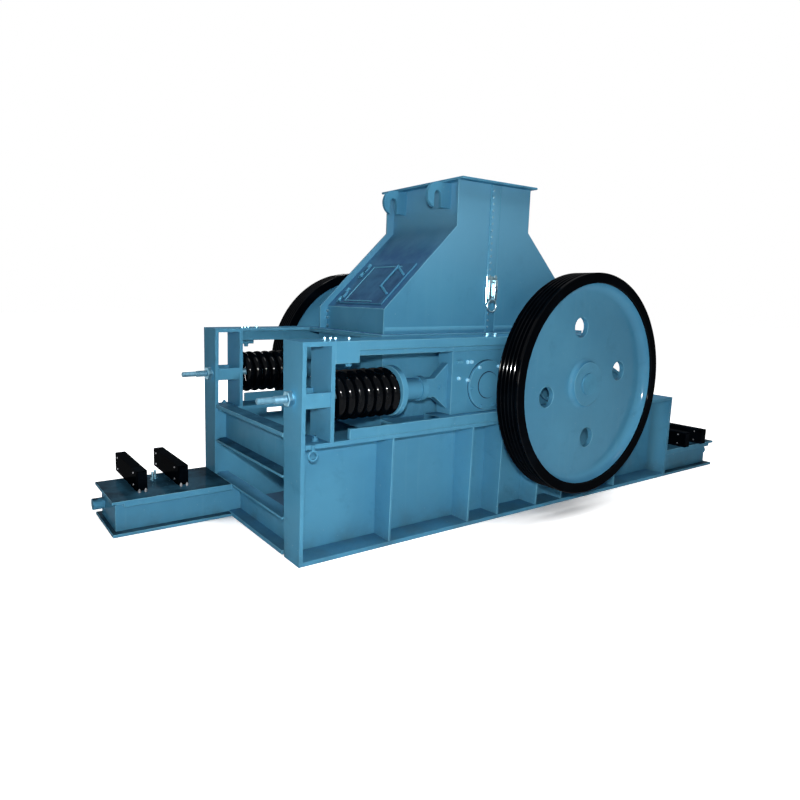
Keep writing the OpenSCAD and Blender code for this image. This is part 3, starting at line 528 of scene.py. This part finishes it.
for node in sorted(nodes):
    if node.startswith(("spring_", "rod_")) or node.endswith(("_shaft", "_roll", "_sheave_rim")):
        continue
    eased(node)


# ---- fasteners of the bearing blocks ----

PLATED_SCREWS = [(-0.141, 0.125), (-0.114, 0.125), (-0.199, 0.043), (-0.137, 0.031)]
PAINTED_SCREWS = [(-0.213, 0.130), (-0.187, 0.129)]
PLATED_COVER_ANGLES, PAINTED_COVER_ANGLES = (54, 126), (6, 186, 246, 294, 354)
COVER_BOLT_RADIUS, COVER_EDGE_RADIUS, SEAL_RADIUS = 0.118, 0.1308, 0.0700
COVER_BACK, FACE_BACK, AXIS_DROP = 0.007, 0.022, 0.021


def bearing_bolts(node, way):
    """Cap screws over a bearing block, left and right of its cover, the cover's bolts, and dark rings round its
    boss and its edge, a seal that also stands in for the shade in those gaps.
    """
    body = rides_on[node]
    low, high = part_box(node)
    boss = max(abs(low.y), abs(high.y))
    face, cover = boss - FACE_BACK, boss - COVER_BACK
    middle = (low.x + high.x) / 2
    level = (low.z + high.z) / 2 - AXIS_DROP
    # the painted screws take the lighter bead paint, a painted highlight
    for title, rows, finish, slot in (("_plated_screws", PLATED_SCREWS, plated_screw, "bare_steel"),
                                      ("_painted_screws", PAINTED_SCREWS, bead_highlight_blue, "blue_paint")):
        both_rows = rows + [(-x, z) for x, z in rows]
        places = [((middle + x, way * face, level + z), (0, way, 0)) for x, z in both_rows]
        bolts(node + title, body, places, flats=0.016, height=0.010, washer=0.020, finish=finish, slot=slot)
    for title, angles, finish, slot in (
            ("_cover_bolts", PAINTED_COVER_ANGLES, sheave_blue, "blue_paint"),
            ("_cover_plated_bolts", PLATED_COVER_ANGLES, plated_screw, "bare_steel")):
        places = [((middle + COVER_BOLT_RADIUS * math.cos(math.radians(a)), way * cover,
                    level + COVER_BOLT_RADIUS * math.sin(math.radians(a))), (0, way, 0)) for a in angles]
        bolts(node + title, body, places, flats=0.014, height=0.008, washer=0.017, finish=finish, slot=slot)
    # dark rings: painted shade in the gaps round the boss and the cover's edge, the inner one also a seal
    rings = bmesh.new()
    for radius, out, wire in ((SEAL_RADIUS, cover + 0.0005, 0.0028), (COVER_EDGE_RADIUS, face, 0.0018)):
        wire_ring(rings, Vector((middle, way * out, level)), radius, wire, segments=8, steps=72)
    bmesh.ops.recalc_face_normals(rings, faces=rings.faces)
    piece(node + "_seal_and_gap_shade_rings", rings, body, gap_shade_rubber, 40.0)


for block_name in ("slide_bearing", "fixed_bearing"):
    for side, way in WAYS.items():
        bearing_bolts(block_name + "_" + side, way)


# ---- fasteners of the frame ----

def both_sides(places, body, name, **sizes):
    """The same bolts on the near and the far side, placed for the far one."""
    mirrored = [((x, -y, z), (d[0], -d[1], d[2])) for (x, y, z), d in places]
    bolts(name + "_near", body, mirrored, **sizes)
    bolts(name + "_far", body, places, **sizes)


UP, DOWN, OUTWARDS = (0, 0, 1), (0, 0, -1), (0, 1, 0)
PAINTED = {"finish": blue, "slot": "blue_paint"}
beam_low, beam_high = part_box("top_beam_far")
girder_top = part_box("girder_far")[1].z
TOP_BOLTS = (0.018, 0.453), (0.042, 0.464), (0.065, 0.470), (0.126, 0.489)
FOOT_BOLTS = (-0.302, 0.510), (-0.255, 0.523)
STOP_SCREW = 0.086, 0.548
COLUMN_FOOT_BOLT = -1.350, 0.520
FORK_SCREW = -0.607, 0.499, 0.744
both_sides([((beam_low.x + x, y, beam_high.z), UP) for x, y in TOP_BOLTS], "frame", "beam_top_bolts",
           flats=0.013, height=0.007, washer=0.0175)
both_sides([((x, y, beam_high.z), UP) for x, y in FOOT_BOLTS], "frame", "hopper_foot_bolts",
           flats=0.022, height=0.012, washer=0.030)
both_sides([((beam_low.x + STOP_SCREW[0], STOP_SCREW[1], beam_low.z), DOWN)], "frame", "stop_screws",
           flats=0.024, height=0.014, washer=0.030, **PAINTED)
both_sides([((*COLUMN_FOOT_BOLT, girder_top), UP)], "frame", "column_foot_bolts",
           flats=0.024, height=0.013, washer=0.034, end=0.006, **PAINTED)
both_sides([(FORK_SCREW, OUTWARDS)], "carriage", "fork_screws",
           flats=0.016, height=0.008, washer=0.022, **PAINTED)


# ---- hopper fittings ----

hop_low, hop_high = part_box("hopper")


def joint_strip(side):
    """Cover strip over the seam of a hopper side, welded down and screwed, and the bar along its foot."""
    left, right, thick, ease, bead = -0.120, -0.052, 0.006, 0.0018, 0.0045
    screws, end_gap, screw_inset = 22, 0.03, 0.012
    bar_thick, bar_height, bar_length, bar_level = 0.005, 0.022, 1.500, 1.031
    way, wall = WAYS[side], 0.317
    bottom, top = hop_low.z + 0.013, hop_high.z - 0.004
    tall, level = top - bottom, (bottom + top) / 2
    strip = bmesh.new()
    block(strip, ((left + right) / 2, way * (wall + thick / 2), level), (right - left, thick, tall), ease, 2)
    # the beads and the foot bar take the lighter bead paint: painted highlight along the strip's edges and the
    # bar
    beads = bmesh.new()
    for x in (left, right):
        round_bar(beads, Matrix.Translation((x, way * (wall + thick / 2), level)), bead, tall, 10)
    piece("hopper_strip_beads_" + side, beads, "frame", bead_highlight_blue, 50.0)
    bar = bmesh.new()
    block(bar, ((hop_low.x + hop_high.x) / 2, way * (wall + bar_thick / 2), bar_level),
          (bar_length, bar_thick, bar_height), ease, 2)
    piece("hopper_foot_bar_" + side, bar, "frame", bead_highlight_blue, 30.0)
    pitch = (tall - 2 * end_gap) / (screws - 1)
    heads = [((left + screw_inset, way * (wall + thick), bottom + end_gap + pitch * i), (0, way, 0))
             for i in range(screws)]
    piece("hopper_joint_strip_" + side, strip, "frame", hopper_blue, 30.0)
    bolts("hopper_strip_screws_" + side, "frame", heads, flats=0.012, height=0.006)


def mouth_welds():
    """Rippled weld beads along the ends of the neck, under the mouth rim."""
    radius, length, ripples, swelling = 0.0048, 0.612, 76, 0.10
    level = hop_high.z + 0.0005
    for title, x in (("left", -0.3145), ("right", 0.1505)):
        mesh = bmesh.new()
        place = Matrix.Translation((x, 0.0, level)) @ Matrix.Rotation(math.pi / 2, 4, "X")
        round_bar(mesh, place, radius, length, 12)
        lengthwise = [e for e in mesh.edges if abs(e.verts[0].co.y - e.verts[1].co.y) > length / 2]
        bmesh.ops.subdivide_edges(mesh, edges=lengthwise, cuts=ripples - 1)
        for corner in mesh.verts:
            ripple = round((corner.co.y + length / 2) / length * ripples)
            swell = 1.0 + swelling * math.cos(math.pi * ripple)
            corner.co.x = x + (corner.co.x - x) * swell
            corner.co.z = level + (corner.co.z - level) * swell
        piece("mouth_weld_" + title, mesh, "frame", hopper_blue, 50.0)


def hatch_frame():
    """Round bar welded on the inspection hatch along its free side and both its ends."""
    rise, run, radius, lift = 0.448, 0.473, 0.003, 0.0105
    low_end, high_end, free_side, hinge_side = 0.045, 0.319, 0.098, -0.150
    foot_inset, foot_level = 0.050, 1.132
    slope_foot = Matrix.Translation((hop_low.x + foot_inset, 0.0, foot_level))
    slope = slope_foot @ Matrix.Rotation(-math.atan2(rise, run), 4, "Y")
    low_free, high_free = Vector((low_end, free_side, lift)), Vector((high_end, free_side, lift))
    low_hinge, high_hinge = Vector((low_end, hinge_side, lift)), Vector((high_end, hinge_side, lift))
    mesh = bmesh.new()
    for one, two in ((low_free, high_free), (high_free, high_hinge), (low_free, low_hinge)):
        lie = Matrix.Translation((one + two) / 2) @ (two - one).to_track_quat("Z", "Y").to_matrix().to_4x4()
        round_bar(mesh, slope @ lie, radius, (two - one).length + 2 * radius, 10)
    # the bar takes the lighter bead paint: painted highlight
    piece("hatch_frame_bar", mesh, rides_on["hatch"], bead_highlight_blue, 50.0)


def toggle_clamp():
    """Plated toggle clamp over the seam: two bars on a plate, cross pins, bolt heads above, a ring below."""
    face, bottom, top, middle = -0.323, 1.190, 1.300, -0.089
    bars, bar_size, bar_ease = (-0.112, -0.066), (0.024, 0.018, top - bottom), 0.004
    plate_size, plate_ease = (0.082, 0.004, 0.150), 0.001
    pin_radius, pin_length, pin_inset, pin_out = 0.006, 0.066, 0.012, 0.010
    ring_radius, ring_wire, ring_drop = 0.034, 0.0065, 0.036
    mesh = bmesh.new()
    for x in bars:
        block(mesh, (x, face - bar_size[1] / 2, (bottom + top) / 2), bar_size, bar_ease, 3)
    block(mesh, (middle, face - plate_size[1] / 2, (bottom + top) / 2), plate_size, plate_ease, 1)
    for z in (bottom + pin_inset, top - pin_inset):
        place = Matrix.Translation((middle, face - pin_out, z)) @ Matrix.Rotation(math.pi / 2, 4, "Y")
        round_bar(mesh, place, pin_radius, pin_length, 16)
    for x in bars:
        hex_head(mesh, Vector((x, face - 0.001, top + 0.018)), -Y, flats=0.017, height=0.009)
    ring_at = Vector((middle, face - pin_out, bottom - ring_drop))
    wire_ring(mesh, ring_at, ring_radius, ring_wire, segments=12, steps=36)
    bmesh.ops.recalc_face_normals(mesh, faces=mesh.faces)
    piece("hopper_toggle_clamp", mesh, "frame", bright_plate, 35.0)


def lip_bolts():
    """Bolts of the two side lips at the hopper's spring end."""
    lip, across, levels = -0.787, (-0.295, 0.295), (1.105, 1.066, 1.020)
    bolts("hopper_lip_bolts", "frame", [((lip, y, z), (-1, 0, 0)) for y in across for z in levels],
          flats=0.015, height=0.008, washer=0.019)


for side in WAYS:
    joint_strip(side)
mouth_welds()
hatch_frame()
toggle_clamp()
lip_bolts()


# ---- girder ends ----

def hanging_eye(side):
    """Small lifting eye on a stem, welded to the edge of the girder's top flange near its end."""
    radius, wire, stem, stem_foot, stem_length = 0.021, 0.006, 0.0065, 0.009, 0.024
    centre = Vector((-1.398, WAYS[side] * 0.586, 0.508))
    mesh = bmesh.new()
    wire_ring(mesh, centre, radius, wire, segments=12, steps=32)
    round_bar(mesh, Matrix.Translation(centre + Z * 0.036), stem, stem_length, 14, tip=stem_foot)
    bmesh.ops.recalc_face_normals(mesh, faces=mesh.faces)
    piece("girder_eye_" + side, mesh, "frame", blue, 40.0)


for side in WAYS:
    hanging_eye(side)


# ---- motor bases ----

def rail_fasteners(side):
    """End plates, side screws and foot bolts of the rails, and two T-bolts waiting between them."""
    rail_pitch, rail_half, rail_width, plate, ease = 0.217, 0.028, 0.0555, 0.005, 0.001
    screw_inset, low_screw, high_screw = 0.055, 0.022, 0.020
    way = -1 if side == "left" else 1
    low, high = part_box("motor_rails_" + side)
    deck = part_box("motor_base_" + side)[1].z
    outer_end = low.x if way < 0 else high.x
    foot_y = low.y - 0.018 if way < 0 else high.y + 0.018
    ends, screws, feet = bmesh.new(), [], []
    for first in (0.0, rail_pitch):
        x = outer_end - way * (rail_half + first)
        for y in (low.y + plate / 2, high.y - plate / 2):
            block(ends, (x, y, (low.z + high.z) / 2), (rail_width, plate, high.z - low.z - 0.001), ease, 1)
        for y in (low.y + screw_inset, high.y - screw_inset):
            screws += [((x - rail_half, y, z), (-1, 0, 0)) for z in (low.z + low_screw, high.z - high_screw)]
        feet += [((x + off, foot_y, deck), UP) for off in (-0.018, 0.014)]
    piece("rail_end_plates_" + side, ends, "frame", rail_black, 30.0)
    bolts("rail_side_screws_" + side, "frame", screws, flats=0.009, height=0.004, finish=dull_bolt)
    bolts("rail_foot_bolts_" + side, "frame", feet, flats=0.013, height=0.008, washer=0.017, end=0.005,
          finish=dull_bolt)
    spare_y = (low.y + high.y) / 2 + way * 0.06
    head, stud = 0.011, 0.030
    mesh = bmesh.new()
    for inwards, off in ((0.128, 0.0), (0.150, 0.028)):
        at = Vector((outer_end - way * inwards, spare_y + off, deck))
        hex_head(mesh, at, Z, flats=0.020, height=head, washer=0.027)
        stud_end(mesh, at + Z * (head + 0.002), Z, width=0.013, length=stud)
    piece("rail_spare_bolts_" + side, mesh, "frame", zinc, 30.0)


for side in ("left", "right"):
    rail_fasteners(side)


# ---- studio ----

def background_ray(tree):
    """1 for the rays that see the pale background: the camera's, and those of glossy and clear surfaces."""
    path = tree.nodes.new("ShaderNodeLightPath")
    seen = calculated(tree, "MAXIMUM", path.outputs["Is Camera Ray"], path.outputs["Is Glossy Ray"])
    return calculated(tree, "MAXIMUM", seen, path.outputs["Is Transmission Ray"])


def floor_paint():
    """Pale floor that glows white to the camera where it lies open, with painted shade inside the outline of
    the frame.
    """
    frame_end, frame_side = (1.36, 1.46), (0.46, 0.50)
    pale, tree, surface, place = shader("pale_floor")
    surface.inputs["Roughness"].default_value = 0.9
    surface.inputs["Specular IOR Level"].default_value = 0.1
    shade = tree.nodes.new("ShaderNodeAmbientOcclusion")
    shade.samples = 8
    shade.inputs["Distance"].default_value = 0.9
    open_floor = spread(tree, shade.outputs["AO"], 0.22, 0.46, to_low=0.02)
    axes = split(tree, place)
    past_end = spread(tree, calculated(tree, "ABSOLUTE", axes["X"]), *frame_end)
    past_side = spread(tree, calculated(tree, "ABSOLUTE", axes["Y"]), *frame_side)
    beyond = calculated(tree, "MAXIMUM", past_end, past_side)
    tone = spread(tree, noise(tree, place, scale=0.8, detail=2.0), 0.3, 0.7)
    colour = blended(tree, beyond, FLOOR_SHADE, blended(tree, tone, *FLOOR_TONES))
    tree.links.new(colour, surface.inputs["Base Color"])
    glow = tree.nodes.new("ShaderNodeEmission")
    glow.inputs["Color"].default_value = WHITE
    lit = calculated(tree, "MULTIPLY", background_ray(tree), open_floor)
    tree.links.new(calculated(tree, "MULTIPLY", lit, beyond), glow.inputs["Strength"])
    both = tree.nodes.new("ShaderNodeAddShader")
    tree.links.new(surface.outputs[0], both.inputs[0])
    tree.links.new(glow.outputs[0], both.inputs[1])
    tree.links.new(both.outputs[0], tree.nodes["Material Output"].inputs["Surface"])
    return pale


def studio_floor():
    mesh = bmesh.new()
    just_below_ground = Matrix.Translation((0, 0, -0.001))
    bmesh.ops.create_grid(mesh, x_segments=4, y_segments=4, size=30.0, matrix=just_below_ground)
    data = bpy.data.meshes.new("studio_floor")
    mesh.to_mesh(data)
    mesh.free()
    floor = bpy.data.objects.new("studio_floor", data)
    bpy.context.scene.collection.objects.link(floor)
    data.materials.append(floor_paint())


def sky():
    """A dim sky that lights the object and shows white behind it."""
    world = bpy.data.worlds.new("studio_world")
    bpy.context.scene.world = world
    world.use_nodes = True
    tree = world.node_tree
    lit = tree.nodes["Background"]
    lit.inputs["Color"].default_value = SKY
    lit.inputs["Strength"].default_value = 0.055
    seen = tree.nodes.new("ShaderNodeBackground")
    seen.inputs["Color"].default_value = WHITE
    seen.inputs["Strength"].default_value = 1.0
    mix = tree.nodes.new("ShaderNodeMixShader")
    tree.links.new(background_ray(tree), mix.inputs[0])
    tree.links.new(lit.outputs[0], mix.inputs[1])
    tree.links.new(seen.outputs[0], mix.inputs[2])
    tree.links.new(mix.outputs[0], tree.nodes["World Output"].inputs["Surface"])


def lamp(name, at, towards, size, watts, glints_only=False):
    """A round lamp; with glints_only it shows in highlights and lights nothing else."""
    data = bpy.data.lights.new(name, "AREA")
    data.shape = "DISK"
    data.size = size
    data.energy = watts
    made = bpy.data.objects.new(name, data)
    bpy.context.scene.collection.objects.link(made)
    made.location = at
    made.rotation_mode = "QUATERNION"
    made.rotation_quaternion = (Vector(towards) - Vector(at)).to_track_quat("-Z", "Y")
    if glints_only:
        made.visible_diffuse = False


def viewpoint():
    """The main camera, turned by yaw from +Y towards +X, then pitch and roll."""
    yaw, pitch, roll = 0.576395, -0.133442, 0.0210114
    stand = (-2.72724, -2.83124, 1.20344)
    ahead = Vector((math.sin(yaw) * math.cos(pitch), math.cos(yaw) * math.cos(pitch), math.sin(pitch)))
    right = ahead.cross(Z).normalized()
    up = right.cross(ahead)
    right, up = right * math.cos(roll) + up * math.sin(roll), up * math.cos(roll) - right * math.sin(roll)
    data = bpy.data.cameras.new("view_camera")
    data.sensor_width = 36.0
    data.lens = 27.84852
    data.shift_x, data.shift_y = 0.07505, -0.0285375
    data.clip_start, data.clip_end = 0.1, 200.0
    camera = bpy.data.objects.new("view_camera", data)
    bpy.context.scene.collection.objects.link(camera)
    camera.matrix_world = Matrix.Translation(stand) @ Matrix((right, up, -ahead)).transposed().to_4x4()
    bpy.context.scene.camera = camera


studio_floor()
sky()
lamp("camera_lamp", (-2.80, -2.93, 1.45), towards=(-0.2, 0.0, 0.75), size=0.12, watts=64.0)
lamp("glint_lamp", (-2.76, -2.87, 1.42), towards=(-0.2, 0.0, 0.75), size=0.12, watts=400.0, glints_only=True)
lamp("left_lamp", (-2.9, -4.3, 1.0), towards=(-0.3, 0.0, 0.8), size=1.0, watts=28.0)
lamp("top_lamp", (0.0, -1.0, 5.0), towards=(0.0, 0.0, 0.8), size=2.0, watts=112.0)
lamp("back_lamp", (2.8, 5.0, 1.7), towards=(0.0, 0.0, 0.7), size=2.2, watts=230.0)
viewpoint()
bpy.context.scene.view_settings.view_transform = "Standard"
